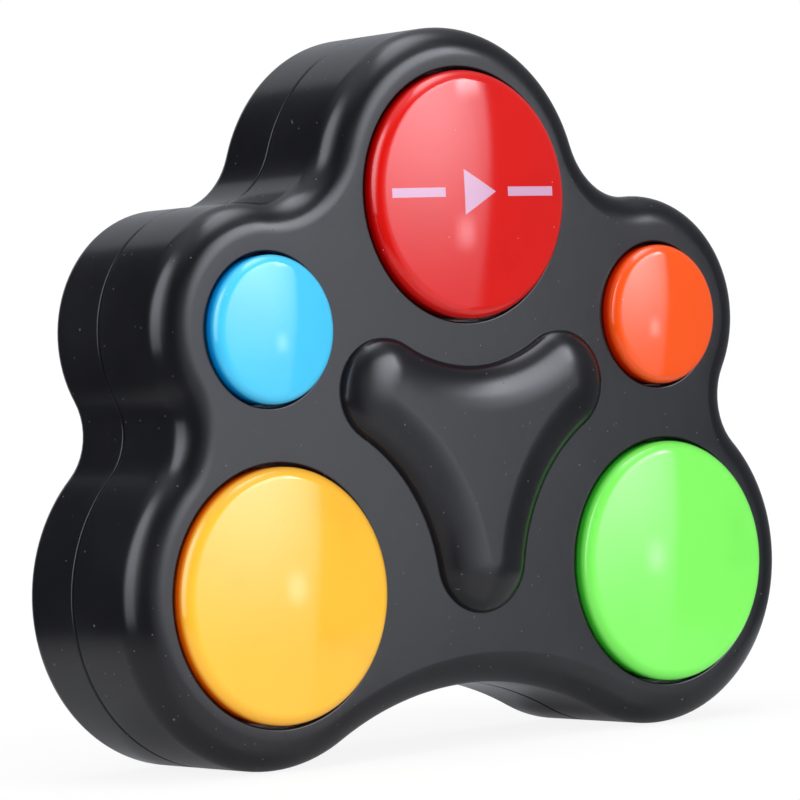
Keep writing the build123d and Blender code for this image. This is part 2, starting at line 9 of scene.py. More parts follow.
import logging
import math
from abc import ABC, abstractmethod
from dataclasses import dataclass, field, replace
from enum import Enum
from typing import Callable, Iterable, Sequence

import bmesh
import bpy
from mathutils import Matrix, Vector

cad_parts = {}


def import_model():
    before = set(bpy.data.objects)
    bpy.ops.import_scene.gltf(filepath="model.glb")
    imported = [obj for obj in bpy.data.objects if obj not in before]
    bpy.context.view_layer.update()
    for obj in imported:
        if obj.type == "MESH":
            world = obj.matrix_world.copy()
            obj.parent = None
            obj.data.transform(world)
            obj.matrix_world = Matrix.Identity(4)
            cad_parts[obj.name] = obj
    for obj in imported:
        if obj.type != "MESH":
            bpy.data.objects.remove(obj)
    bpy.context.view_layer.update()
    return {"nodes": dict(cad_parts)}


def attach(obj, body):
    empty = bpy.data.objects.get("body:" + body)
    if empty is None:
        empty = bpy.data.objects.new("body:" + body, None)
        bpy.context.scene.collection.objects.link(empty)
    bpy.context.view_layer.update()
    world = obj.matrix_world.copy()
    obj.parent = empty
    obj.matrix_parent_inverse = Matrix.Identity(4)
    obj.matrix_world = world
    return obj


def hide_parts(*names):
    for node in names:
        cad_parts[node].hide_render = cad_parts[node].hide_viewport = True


log = logging.getLogger("memory_game")

Point = tuple[float, float]
Place = tuple[float, float, float]
Colour = tuple[float, float, float]
# A centre or a corner, and its radius.
Round = tuple[Point, float]
Edges = list[bmesh.types.BMEdge]

MILLIMETRE = 0.001
MERGE_DISTANCE = 0.0001
NORMAL_WEIGHT = 100
SHARP_ANGLE = 30.0
DEGREES = 180.0 / math.pi
PHOTO_SIDE = 800
SENSOR_WIDTH = 36.0
PLASTIC_IOR = 1.5
WHITE = (1.0, 1.0, 1.0)


# Sizes


@dataclass(frozen=True)
class BodySizes:
    """Sizes of the two shells and where the buttons lie, in millimetres."""

    depth: float = 34.2
    seam: float = 14.7
    wall: float = 2.2
    front_round: float = 6.0
    rear_round: float = 3.0
    seam_round: float = 0.38
    seam_gap: float = 0.28
    skin: float = 0.015
    large_lobe: float = 31.1
    small_lobe: float = 22.8
    top: Point = (0.0, 101.1)
    side: Point = (46.3, 77.9)
    lower: Point = (46.2, 31.1)
    shoulder_join: float = 14.5
    waist_join: float = 10.9
    arch_join: float = 67.2
    large_hole: float = 23.3
    small_hole: float = 13.72
    hole_round: float = 0.4
    collar_depth: float = 8.0

    def buttons(self) -> dict[str, Round]:
        """Each button's place and the radius of its hole."""
        (side_x, side_y), (lower_x, lower_y) = self.side, self.lower
        return {
            "start": (self.top, self.large_hole),
            "blue": ((-side_x, side_y), self.small_hole),
            "orange": ((side_x, side_y), self.small_hole),
            "yellow": ((-lower_x, lower_y), self.large_hole),
            "green": ((lower_x, lower_y), self.large_hole),
        }


@dataclass(frozen=True)
class PadSizes:
    """Sizes of the raised three-armed pad, in millimetres."""

    arm: Point = (21.0, 66.1)
    arm_radius: float = 9.7
    stem: Point = (0.0, 34.5)
    stem_radius: float = 9.9
    top_join: float = 31.2
    side_join: float = 34.7
    height: float = 4.2
    slope_width: float = 9.0


@dataclass(frozen=True)
class CapSizes:
    """Sizes of a button cap, in millimetres and degrees."""

    gap: float = 0.55
    edge_height: float = 3.0
    edge_round: float = 2.6
    small_edge_round: float = 2.1
    dome_slope: float = 7.6
    wall: float = 1.8
    roof: float = 2.0
    flange_overlap: float = 1.0
    flange_top: float = 26.15
    flange_bottom: float = 24.65

    def dome_reach(self, radius: float) -> float:
        """How far the dome reaches from the middle of a cap of this radius."""
        return radius - self.edge_round + self.edge_round * math.sin(math.radians(self.dome_slope))

    def proud(self, radius: float) -> float:
        """How far a cap's crown stands above the body's face.

        Args:
            radius: the cap's radius.

        Returns:
            The height in millimetres.
        """
        slope = math.radians(self.dome_slope)
        lost = self.edge_round * (1 - math.cos(slope))
        return self.edge_height - lost + self.dome_reach(radius) * math.tan(slope / 2)


@dataclass(frozen=True)
class RearSizes:
    """Sizes of what opens in the rear face, in millimetres."""

    boss_places: tuple[Point, ...] = (
        (27.3, 87.4),
        (-27.3, 87.4),
        (33.0, 57.0),
        (-33.0, 57.0),
        (0.0, 19.5),
    )
    well_radius: float = 2.9
    well_depth: float = 9.0
    boss_radius: float = 3.6
    boss_top: float = 14.65
    screw_hole: float = 1.3
    well_round: float = 0.25
    cell_box: Point = (52.0, 33.0)
    cell_box_rise: float = 56.0
    cell_box_roof: float = 12.95
    cell_box_wall: float = 1.6
    door_border: float = 2.0
    door_gap: float = 0.25
    door_corner: float = 2.5
    door_recess: float = 1.85
    door_ear_radius: float = 4.8
    door_ear_reach: float = 3.6
    door_boss_radius: float = 2.9
    door_boss_top: float = 10.0
    door_pilot_radius: float = 1.2
    door_pilot_top: float = 8.55
    grille_hole: float = 0.9
    grille_pitch: float = 3.6
    grille_rings: int = 3
    grille_first_ring: int = 6


@dataclass(frozen=True)
class Fineness:
    """How finely curved forms are divided."""

    outline_step: float = 1.5
    least_steps: int = 3
    round_steps: int = 16
    seam_steps: int = 5
    pad_steps: int = 26
    hole_steps: int = 5
    hole_segments: int = 128
    small_segments: int = 24
    well_segments: int = 48
    corner_steps: int = 6
    ear_steps: int = 24
    cap_segments: int = 144
    cap_dome_steps: int = 14
    cap_edge_steps: int = 18


# Outlines


@dataclass(frozen=True)
class Arc:
    """One arc of an outline: its centre, radius, first angle and sweep in radians."""

    centre: Point
    radius: float
    start: float
    sweep: float

    def first_point(self) -> Point:
        """The point where the arc starts."""
        return (
            self.centre[0] + self.radius * math.cos(self.start),
            self.centre[1] + self.radius * math.sin(self.start),
        )


@dataclass(frozen=True)
class LobedOutline:
    """Closed outline of round lobes joined by hollow arcs, run anticlockwise."""

    lobes: tuple[Round, ...]
    joins: tuple[float, ...]

    def arcs(self, inset: float = 0.0) -> list[Arc]:
        """Arcs of the outline drawn in by an inset.

        Args:
            inset: how far the outline is drawn in, in millimetres.

        Returns:
            A convex and a hollow arc for each lobe, in order.
        """
        count = len(self.lobes)
        middles = [
            self._joining_centre(self.lobes[i], self.lobes[(i + 1) % count], self.joins[i])
            for i in range(count)
        ]
        made: list[Arc] = []
        for i, (place, radius) in enumerate(self.lobes):
            following = self.lobes[(i + 1) % count][0]
            arrive = self._angle(place, middles[i - 1])
            leave = self._angle(place, middles[i])
            made.append(Arc(place, radius - inset, arrive, (leave - arrive) % math.tau))
            enter = self._angle(middles[i], place)
            depart = self._angle(middles[i], following)
            sweep = -((enter - depart) % math.tau)
            made.append(Arc(middles[i], self.joins[i] + inset, enter, sweep))
        return made

    def steps(self, step_length: float) -> list[int]:
        """How many steps each arc takes, the same for every inset."""
        lengths = [abs(arc.sweep) * arc.radius for arc in self.arcs()]
        return [max(Fineness.least_steps, math.ceil(length / step_length)) for length in lengths]

    @staticmethod
    def _angle(origin: Point, target: Point) -> float:
        """Direction from one point to another, in radians."""
        return math.atan2(target[1] - origin[1], target[0] - origin[0])

    @staticmethod
    def _joining_centre(first: Round, second: Round, radius: float) -> Point:
        """Centre of the hollow arc that joins two lobes on the right of the way between them.

        Args:
            first: a lobe's centre and radius.
            second: those of the lobe after it.
            radius: the hollow arc's radius.

        Returns:
            The arc's centre.
        """
        (ax, ay), first_radius = first
        (bx, by), second_radius = second
        reach_a = first_radius + radius
        reach_b = second_radius + radius
        dx, dy = bx - ax, by - ay
        span = math.hypot(dx, dy)
        along = (reach_a**2 - reach_b**2 + span**2) / (2 * span)
        aside = math.sqrt(reach_a**2 - along**2)
        return (
            ax + (dx * along + dy * aside) / span,
            ay + (dy * along - dx * aside) / span,
        )


def body_outline(sizes: BodySizes) -> LobedOutline:
    """The five-lobed outline of the body.

    Args:
        sizes: the body's sizes.

    Returns:
        The outline, starting at the top lobe.
    """
    (side_x, side_y), (lower_x, lower_y) = sizes.side, sizes.lower
    return LobedOutline(
        lobes=(
            (sizes.top, sizes.large_lobe),
            ((-side_x, side_y), sizes.small_lobe),
            ((-lower_x, lower_y), sizes.large_lobe),
            ((lower_x, lower_y), sizes.large_lobe),
            ((side_x, side_y), sizes.small_lobe),
        ),
        joins=(
            sizes.shoulder_join,
            sizes.waist_join,
            sizes.arch_join,
            sizes.waist_join,
            sizes.shoulder_join,
        ),
    )


def pad_outline(sizes: PadSizes) -> LobedOutline:
    """The three-armed outline of the raised pad.

    Args:
        sizes: the pad's sizes.

    Returns:
        The outline, starting at the left arm.
    """
    x, y = sizes.arm
    return LobedOutline(
        lobes=(
            ((-x, y), sizes.arm_radius),
            (sizes.stem, sizes.stem_radius),
            ((x, y), sizes.arm_radius),
        ),
        joins=(sizes.side_join, sizes.side_join, sizes.top_join),
    )


# Mesh work


def quarter_turn(steps: int) -> list[Point]:
    """Sine and cosine at each step of a quarter turn."""
    turns = [math.pi / 2 * i / steps for i in range(steps + 1)]
    return [(math.sin(turn), math.cos(turn)) for turn in turns]


def spin_vertex(
    mesh: bmesh.types.BMesh,
    vert: bmesh.types.BMVert,
    centre: Place,
    axis: Place,
    angle: float,
    steps: int,
) -> bmesh.types.BMVert:
    """Spins a vertex into an arc of edges.

    Args:
        mesh: the mesh that is drawn in.
        vert: the vertex where the arc starts.
        centre: the arc's centre.
        axis: the direction that it turns about.
        angle: its sweep in radians.
        steps: how many edges it has.

    Returns:
        The arc's last vertex.
    """
    spun = bmesh.ops.spin(
        mesh,
        geom=[vert],
        cent=centre,
        axis=axis,
        dvec=(0, 0, 0),
        angle=angle,
        steps=steps,
        use_merge=False,
        use_duplicate=False,
    )
    return next(g for g in spun["geom_last"] if isinstance(g, bmesh.types.BMVert))


class Workpiece:
    """A mesh being shaped in millimetres, lying on its back."""

    def __init__(self, name: str) -> None:
        """Starts an empty mesh under a piece's name."""
        self.name = name
        self.mesh = bmesh.new()

    def _new_edges(self, make: Callable[[], None]) -> Edges:
        """Runs a step and finds what it added.

        Args:
            make: the step.

        Returns:
            The new edges.
        """
        before = set(self.mesh.edges)
        make()
        return [edge for edge in self.mesh.edges if edge not in before]

    def _join(self, part: bmesh.types.BMesh) -> Edges:
        """Adds a part drawn apart, which is quicker than drawing it in a large mesh.

        Args:
            part: the part, which is used up.

        Returns:
            Its edges in this mesh.
        """
        data = bpy.data.meshes.new("part")
        part.to_mesh(data)
        part.free()
        edges = self._new_edges(lambda: self.mesh.from_mesh(data))
        bpy.data.meshes.remove(data)
        return edges

    def lobed_loop(self, outline: LobedOutline, inset: float, height: float) -> Edges:
        """Closed loop of edges along a lobed outline.

        Args:
            outline: the outline to follow.
            inset: how far the loop is drawn in.
            height: the loop's z.

        Returns:
            The loop's edges.
        """
        ring = bmesh.new()
        arcs = outline.arcs(inset)
        first = ring.verts.new((*arcs[0].first_point(), height))
        last = first
        for arc, steps in zip(arcs, outline.steps(Fineness.outline_step)):
            last = spin_vertex(ring, last, (*arc.centre, height), (0, 0, 1), arc.sweep, steps)
        bmesh.ops.pointmerge(ring, verts=[first, last], merge_co=first.co)
        return self._join(ring)

    def round_loop(self, place: Point, radius: float, height: float, segments: int) -> Edges:
        """Closed round loop of edges at a height."""
        return self._new_edges(
            lambda: bmesh.ops.create_circle(
                self.mesh,
                radius=radius,
                segments=segments,
                matrix=Matrix.Translation((*place, height)),
            )
        )

    def corner_loop(self, corners: Sequence[Round], height: float) -> Edges:
        """Closed loop through corners, each with its own radius, where 0 keeps it sharp.

        Args:
            corners: each corner's place and radius, anticlockwise.
            height: the loop's z.

        Returns:
            The loop's edges.
        """

        def make() -> None:
            """Draws the corners and rounds those with a radius."""
            verts = [self.mesh.verts.new((*place, height)) for place, _ in corners]
            for i, vert in enumerate(verts):
                self.mesh.edges.new((vert, verts[(i + 1) % len(verts)]))
            for vert, (_, radius) in zip(verts, corners):
                if radius > 0:
                    bmesh.ops.bevel(
                        self.mesh,
                        geom=[vert],
                        offset=radius,
                        offset_type="OFFSET",
                        affect="VERTICES",
                        segments=Fineness.corner_steps,
                        profile=0.5,
                        material=-1,
                    )

        return self._new_edges(make)

    def bridge(self, loops: Sequence[Edges]) -> None:
        """Joins each loop to the next with a band of faces."""
        for lower, upper in zip(loops, loops[1:]):
            bmesh.ops.bridge_loops(self.mesh, edges=[*lower, *upper])

    def tube(self, place: Point, path: Sequence[Point], segments: int) -> list[Edges]:
        """Round wall about a place.

        Args:
            place: the wall's axis.
            path: radius and height of each loop.
            segments: how many edges a loop has.

        Returns:
            The loops in order.
        """
        loops = [self.round_loop(place, radius, height, segments) for radius, height in path]
        self.bridge(loops)
        return loops

    def prism(self, corners: Sequence[Round], low: float, high: float) -> tuple[Edges, Edges]:
        """Upright wall through corners.

        Args:
            corners: each corner's place and radius, anticlockwise.
            low: z of the wall's foot.
            high: z of its head.

        Returns:
            The loops of its foot and head.
        """
        lower, upper = self.corner_loop(corners, low), self.corner_loop(corners, high)
        self.bridge([lower, upper])
        return lower, upper

    def fill(self, *loops: Edges) -> None:
        """Fills a flat area between an outer loop and any loops inside it."""
        edges = [edge for loop in loops for edge in loop]
        bmesh.ops.triangle_fill(
            self.mesh, edges=edges, use_beauty=True, use_dissolve=False, normal=(0, 0, 1)
        )

    def trace(self, start: Point, moves: Iterable["Sweep | Run"]) -> Edges:
        """Draws an open profile in the XZ plane, one move after another.

        Args:
            start: first point, as radius and height.
            moves: sweeps about a centre and straight runs.

        Returns:
            The profile's edges.
        """

        def make() -> None:
            """Draws the moves in order."""
            last = self.mesh.verts.new((start[0], 0, start[1]))
            for move in moves:
                last = move.draw(self.mesh, last)

        return self._new_edges(make)

    def turn(self, profile: Edges, segments: int) -> None:
        """Spins a profile once round the z axis and closes its seam and poles.

        Args:
            profile: the profile's edges.
            segments: how many steps the turn takes.
        """
        geometry = list(profile) + list({vert for edge in profile for vert in edge.verts})
        bmesh.ops.spin(
            self.mesh,
            geom=geometry,
            cent=(0, 0, 0),
            axis=(0, 0, 1),
            dvec=(0, 0, 0),
            angle=math.tau,
            steps=segments,
            use_merge=True,
            use_duplicate=False,
        )
        bmesh.ops.remove_doubles(self.mesh, verts=self.mesh.verts, dist=MERGE_DISTANCE)

    def move(self, place: Point) -> None:
        """Moves the whole mesh to a place on the body."""
        bmesh.ops.translate(self.mesh, verts=self.mesh.verts, vec=(*place, 0))

    def finish(self, stand: Matrix) -> bpy.types.Object:
        """Stands the mesh up in the row frame and makes its object.

        Args:
            stand: matrix from the flat layout in millimetres to the row frame in metres.

        Returns:
            The finished object, at the origin, unturned and unscaled.
        """
        bmesh.ops.remove_doubles(self.mesh, verts=self.mesh.verts, dist=MERGE_DISTANCE)
        bmesh.ops.recalc_face_normals(self.mesh, faces=self.mesh.faces)
        self.mesh.transform(stand)
        limit = math.radians(SHARP_ANGLE)
        for face in self.mesh.faces:
            face.smooth = True
        for edge in self.mesh.edges:
            edge.smooth = edge.calc_face_angle(math.pi) < limit
        data = bpy.data.meshes.new(self.name)
        self.mesh.to_mesh(data)
        self.mesh.free()
        piece = bpy.data.objects.new(self.name, data)
        bpy.context.scene.collection.objects.link(piece)
        weighted = piece.modifiers.new("even_shading", "WEIGHTED_NORMAL")
        weighted.mode = "FACE_AREA"
        weighted.weight = NORMAL_WEIGHT
        weighted.keep_sharp = True
        return piece


@dataclass(frozen=True)
class Sweep:
    """A move along an arc of a profile, about a centre in the XZ plane."""

    centre: Point
    angle: float
    steps: int

    def draw(self, mesh: bmesh.types.BMesh, last: bmesh.types.BMVert) -> bmesh.types.BMVert:
        """Draws the arc from the last vertex and returns the new last one."""
        centre = (self.centre[0], 0, self.centre[1])
        return spin_vertex(mesh, last, centre, (0, 1, 0), self.angle, self.steps)


@dataclass(frozen=True)
class Run:
    """A straight move of a profile to a point, as radius and height."""

    target: Point

    def draw(self, mesh: bmesh.types.BMesh, last: bmesh.types.BMVert) -> bmesh.types.BMVert:
        """Draws the line.

        Args:
            mesh: the mesh that is drawn in.
            last: the vertex where the line starts.

        Returns:
            The vertex where it ends.
        """
        vert = bmesh.ops.extrude_vert_indiv(mesh, verts=[last])["verts"][0]
        vert.co = (self.target[0], 0, self.target[1])
        return vert


# Shader work


@dataclass(frozen=True)
class Specks:
    """Sparse round specks on a surface.

    The scale is in cells a metre, the size is a speck's radius as a share of its cell, the share
    is the share of cells that hold one, the core is how much of a speck is at full strength, and
    the choice is how softly cells with a speck are told from those without.
    """

    scale: float
    size: float
    share: float
    core: float = 0.5
    choice: float = 0.01


class Value:
    """A socket in a shader, whose operators add Math nodes."""

    def __init__(self, shader: "Shader", socket: bpy.types.NodeSocket) -> None:
        """Wraps an output socket of a shader."""
        self.shader = shader
        self.socket = socket

    def _math(self, operation: str, *values: "Value | float") -> "Value":
        """Adds a Math node for an operation on this value and others."""
        return self.shader.add("ShaderNodeMath", {"operation": operation}, [self, *values])

    def __add__(self, other: "Value | float") -> "Value":
        """Sum."""
        return self._math("ADD", other)

    __radd__ = __add__

    def __sub__(self, other: "Value | float") -> "Value":
        """Difference."""
        return self._math("SUBTRACT", other)

    def __rsub__(self, other: float) -> "Value":
        """Difference from a number."""
        return self.shader.add("ShaderNodeMath", {"operation": "SUBTRACT"}, [other, self])

    def __mul__(self, other: "Value | float") -> "Value":
        """Product."""
        return self._math("MULTIPLY", other)

    __rmul__ = __mul__

    def __neg__(self) -> "Value":
        """Negative."""
        return self._math("MULTIPLY", -1.0)

    def __abs__(self) -> "Value":
        """Size without its sign."""
        return self._math("ABSOLUTE")

    def maximum(self, other: "Value | float") -> "Value":
        """The larger of two values."""
        return self._math("MAXIMUM", other)

    def power(self, exponent: float) -> "Value":
        """Raised to a power."""
        return self._math("POWER", exponent)

    def bearing(self, forward: "Value") -> "Value":
        """Angle of a direction from the forward axis, in degrees."""
        return self._math("ARCTAN2", forward) * DEGREES

    def tilt(self) -> "Value":
        """Angle above the level whose sine this is, in degrees."""
        return self._math("ARCSINE") * DEGREES

    def step(self, low: float, high: float) -> "Value":
        """Rises or falls smoothly between two limits.

        Args:
            low: where the result is 0.
            high: where it is 1, above or below the other limit.

        Returns:
            The eased value.
        """
        if low > high:
            return 1.0 - self.step(high, low)
        return self.shader.add(
            "ShaderNodeMapRange",
            {"interpolation_type": "SMOOTHSTEP", "clamp": True},
            [self, low, high, 0.0, 1.0],
        )


class Shader:
    """A node tree under construction."""

    def __init__(self, tree: bpy.types.NodeTree) -> None:
        """Empties a node tree and starts on it."""
        self.tree = tree
        tree.nodes.clear()

    def add(
        self,
        kind: str,
        settings: dict[str, object] | None = None,
        inputs: Sequence[object] | dict[str | int, object] = (),
        output: str | int = 0,
    ) -> Value:
        """Adds one node.

        Args:
            kind: the node's type.
            settings: the node's properties, set first.
            inputs: values, numbers or colours, in order or by socket.
            output: which output the returned value stands for.

        Returns:
            The chosen output.
        """
        node = self.tree.nodes.new(kind)
        for name, setting in (settings or {}).items():
            setattr(node, name, setting)
        pairs = inputs.items() if isinstance(inputs, dict) else enumerate(inputs)
        for key, given in pairs:
            socket = node.inputs[key]
            if isinstance(given, Value):
                self.tree.links.new(given.socket, socket)
            else:
                socket.default_value = (*given, 1.0) if socket.type == "RGBA" else given
        return Value(self, node.outputs[output])

    def output(self, kind: str, surface: Value) -> None:
        """Links a surface to the tree's output node."""
        node = self.tree.nodes.new(kind)
        self.tree.links.new(surface.socket, node.inputs["Surface"])

    def place(self) -> Value:
        """Object coordinates."""
        return self.add("ShaderNodeTexCoord", output="Object")

    def axes(self, vector: Value) -> tuple[Value, Value, Value]:
        """Splits a vector.

        Args:
            vector: the vector.

        Returns:
            Its three components.
        """
        split = self.add("ShaderNodeSeparateXYZ", inputs=[vector])
        outputs = split.socket.node.outputs
        return tuple(Value(self, outputs[i]) for i in range(3))

    def noise(self, place: Value, scale: float, detail: float = 2.0, rough: float = 0.5) -> Value:
        """Soft noise, in cycles a metre."""
        return self.add(
            "ShaderNodeTexNoise",
            {"noise_dimensions": "3D"},
            {"Vector": place, "Scale": scale, "Detail": detail, "Roughness": rough},
            "Fac",
        )

    def mix(self, share: Value | float, first: Value | Colour, second: Value | Colour) -> Value:
        """Mixes two colours.

        Args:
            share: the share of the second colour.
            first: a colour, fixed or from a socket.
            second: another.

        Returns:
            The mixed colour.
        """
        # Set to colours, the node takes them at sockets 6 and 7 and gives their mix at 2.
        inputs = {0: share, 6: first, 7: second}
        return self.add("ShaderNodeMix", {"data_type": "RGBA"}, inputs, 2)

    def specks(self, place: Value, specks: Specks) -> Value:
        """Mask of sparse specks.

        Args:
            place: coordinates.
            specks: their scale, size and share.

        Returns:
            A mask, 1 on a speck.
        """
        cells = self.add(
            "ShaderNodeTexVoronoi",
            {"feature": "F1"},
            {"Vector": place, "Scale": specks.scale, "Randomness": 1.0},
            "Distance",
        )
        colour = Value(self, cells.socket.node.outputs["Color"])
        empty = 1.0 - specks.share
        chosen = self.axes(colour)[0].step(empty, empty + specks.choice)
        return chosen * cells.step(specks.size, specks.size * specks.core)

    def rays(self) -> tuple[Value, Value]:
        """Masks by kind of ray.

        Returns:
            Masks of the rays that see the background plainly, and of the glossy rays.
        """
        path = self.add("ShaderNodeLightPath", output="Is Camera Ray")
        outputs = path.socket.node.outputs
        plain = path.maximum(Value(self, outputs["Is Transmission Ray"]))
        return plain, Value(self, outputs["Is Glossy Ray"])

    def bump(self, height: Value, strength: float, distance: float) -> Value:
        """A Bump node for the Normal socket."""
        return self.add(
            "ShaderNodeBump",
            None,
            {"Strength": strength, "Distance": distance, "Height": height},
        )

    def surface(self, sockets: dict[str | int, object]) -> Value:
        """A Principled surface from its sockets."""
        return self.add("ShaderNodeBsdfPrincipled", None, sockets, "BSDF")


# Finishes


class Finish(ABC):
    """A look that can be made into a material."""

    name: str

    @abstractmethod
    def surface(self, shader: Shader) -> Value:
        """Builds the look in a material's shader and returns its surface."""

    def material(self) -> bpy.types.Material:
        """Builds the finish as a node material.

        Returns:
            The material.
        """
        material = bpy.data.materials.new(self.name)
        material.use_nodes = True
        shader = Shader(material.node_tree)
        shader.output("ShaderNodeOutputMaterial", self.surface(shader))
        return material


@dataclass(frozen=True)
class SatinBlack(Finish):
    """Moulded black plastic with a satin face, faint dust and handling marks."""

    name: str = "satin_black_plastic"
    colour: Colour = (0.0075, 0.0077, 0.0092)
    worn: Colour = (0.0115, 0.0117, 0.0138)
    worn_range: Point = (0.35, 0.75)
    dust: Colour = (0.13, 0.13, 0.135)
    dust_cover: float = 0.75
    least_roughness: float = 0.15
    specular_level: float = 0.36
    cloud_scale: float = 45.0
    grain_scale: float = 1500.0
    peel_scale: float = 260.0
    fine_dust: Specks = Specks(440.0, 0.075, 0.75)
    coarse_dust: Specks = Specks(160.0, 0.045, 0.6)
    marks: Specks = Specks(170.0, 0.03, 0.4)
    mark_turn: Place = (0.3, 0.9, 0.5)
    mark_stretch: Place = (1.0, 1.0, 0.12)
    cloud_roughness: float = 0.07
    grain_roughness: float = 0.03
    dust_roughness: float = 0.3
    grain_relief: float = 0.7
    peel_relief: float = 2.2
    dust_relief: float = 1.5
    bump_strength: float = 0.35
    grain_depth: float = 0.00001

    def surface(self, shader: Shader) -> Value:
        """Lays grain, wear, dust and marks over the black.

        Args:
            shader: the material's shader.

        Returns:
            The surface.
        """
        place = shader.place()
        cloud = shader.noise(place, self.cloud_scale, detail=3.0)
        grain = shader.noise(place, self.grain_scale, rough=0.6)
        peel = shader.noise(place, self.peel_scale)
        fine_dust = shader.specks(place, self.fine_dust)
        coarse_dust = shader.specks(place, self.coarse_dust)
        stretched = shader.add(
            "ShaderNodeMapping",
            None,
            {"Vector": place, "Rotation": self.mark_turn, "Scale": self.mark_stretch},
        )
        marks = shader.specks(stretched, self.marks)
        dust = fine_dust.maximum(coarse_dust).maximum(marks)
        base = shader.mix(cloud.step(*self.worn_range), self.colour, self.worn)
        coloured = shader.mix(dust * self.dust_cover, base, self.dust)
        mottled = cloud * self.cloud_roughness + grain * self.grain_roughness
        roughness = mottled + dust * self.dust_roughness + self.least_roughness
        height = grain * self.grain_relief + peel * self.peel_relief + dust * self.dust_relief
        return shader.surface(
            {
                "Base Color": coloured,
                "Roughness": roughness,
                "IOR": PLASTIC_IOR,
                "Specular IOR Level": self.specular_level,
                "Normal": shader.bump(height, self.bump_strength, self.grain_depth),
            }
        )


@dataclass(frozen=True)
class StartSign:
    """Printed sign for starting: a triangle that points right between two bars, in millimetres."""

    colour: Colour = (0.68, 0.4, 0.57)
    middle_z: float = 101.4
    triangle_left: float = -3.4
    triangle_length: float = 7.4
    triangle_half: float = 4.15
    bars_middle: float = -0.4
    bar_half: float = 0.85
    bar_inner: float = 7.4
    bar_outer: float = 19.0
    soft: float = 0.07
    face_range: Point = (0.5, 0.2)
    roughness: float = 0.06

    def mask(self, x: Value, z: Value, deep: Value) -> Value:
        """Mask that is 1 on the print.

        Args:
            x: place across the cap, in millimetres.
            z: place up the body, in millimetres.
            deep: depth behind the body's face, in heights of the cap's edge, which keeps the
                print off the cap's back.

        Returns:
            The mask.
        """
        soft = self.soft
        rise = abs(z - self.middle_z)
        taper = self.triangle_half / self.triangle_length
        slope = (x - self.triangle_left) * taper + rise
        triangle = slope.step(self.triangle_half + soft, self.triangle_half - soft)
        triangle = triangle * x.step(self.triangle_left - soft, self.triangle_left + soft)
        bar_height = rise.step(self.bar_half + soft, self.bar_half - soft)
        away = abs(x - self.bars_middle)
        inner = away.step(self.bar_inner - soft, self.bar_inner + soft)
        bars = bar_height * inner * away.step(self.bar_outer + soft, self.bar_outer - soft)
        return triangle.maximum(bars) * deep.step(*self.face_range)


@dataclass(frozen=True)
class ButtonPlastic(Finish):
    """Glossy coloured plastic of a button cap, deeper in colour towards its edge, with painted
    shade on its side low down by the body's face and in the gap round it.
    """

    name: str
    colour: Colour
    # The deeper colour of the rounded edge, which is also laid on the side by the gap as painted
    # shade.
    edge: Colour
    centre: Place
    radius: float
    face_depth: float
    sign: StartSign | None = None
    rim_range: Point = (0.9, 1.0)
    rim_share: float = 0.2
    # Painted shade on the cap's side low down by the body's face, where the gap round it lies in
    # shadow.
    gap_shade_range: Point = (-0.6, -0.05)
    gap_shade_share: float = 0.8
    cloud_scale: float = 55.0
    cloud_range: Point = (0.45, 0.8)
    cloud_share: float = 0.12
    swirl_scale: float = 420.0
    dust: Specks = Specks(300.0, 0.045, 0.5)
    dust_colour: Colour = (0.8, 0.8, 0.8)
    dust_cover: float = 0.35
    least_roughness: float = 0.035
    cloud_roughness: float = 0.03
    dust_roughness: float = 0.2
    bump_strength: float = 0.25
    swirl_depth: float = 0.000006

    def surface(self, shader: Shader) -> Value:
        """Deepens the colour towards the edge, paints shade on the side by the gap, and adds
        clouds, dust and any sign.

        Args:
            shader: the material's shader.

        Returns:
            The surface.
        """
        place = shader.place()
        x, y, z = shader.axes(place)
        across = (x - self.centre[0]) * (1.0 / self.radius)
        up = (z - self.centre[2]) * (1.0 / self.radius)
        reach = (across * across + up * up).power(0.5)
        cloud = shader.noise(place, self.cloud_scale)
        swirl = shader.noise(place, self.swirl_scale)
        deep = (y - self.centre[1]) * (1.0 / self.face_depth)
        rim = reach.step(*self.rim_range) * self.rim_share
        # Painted shade: the side takes the edge colour as it nears the body's face and the gap.
        rim = rim + deep.step(*self.gap_shade_range) * self.gap_shade_share
        base = shader.mix(rim, self.colour, self.edge)
        varied = shader.mix(cloud.step(*self.cloud_range) * self.cloud_share, base, self.edge)
        dust = shader.specks(place, self.dust)
        coloured = shader.mix(dust * self.dust_cover, varied, self.dust_colour)
        mottled = cloud * self.cloud_roughness + dust * self.dust_roughness
        roughness = mottled + self.least_roughness
        if self.sign:
            printed = self.sign.mask(x * (1.0 / MILLIMETRE), z * (1.0 / MILLIMETRE), deep)
            coloured = shader.mix(printed, coloured, self.sign.colour)
            roughness = roughness + printed * self.sign.roughness
        return shader.surface(
            {
                "Base Color": coloured,
                "Roughness": roughness,
                "IOR": PLASTIC_IOR,
                "Normal": shader.bump(swirl, self.bump_strength, self.swirl_depth),
            }
        )


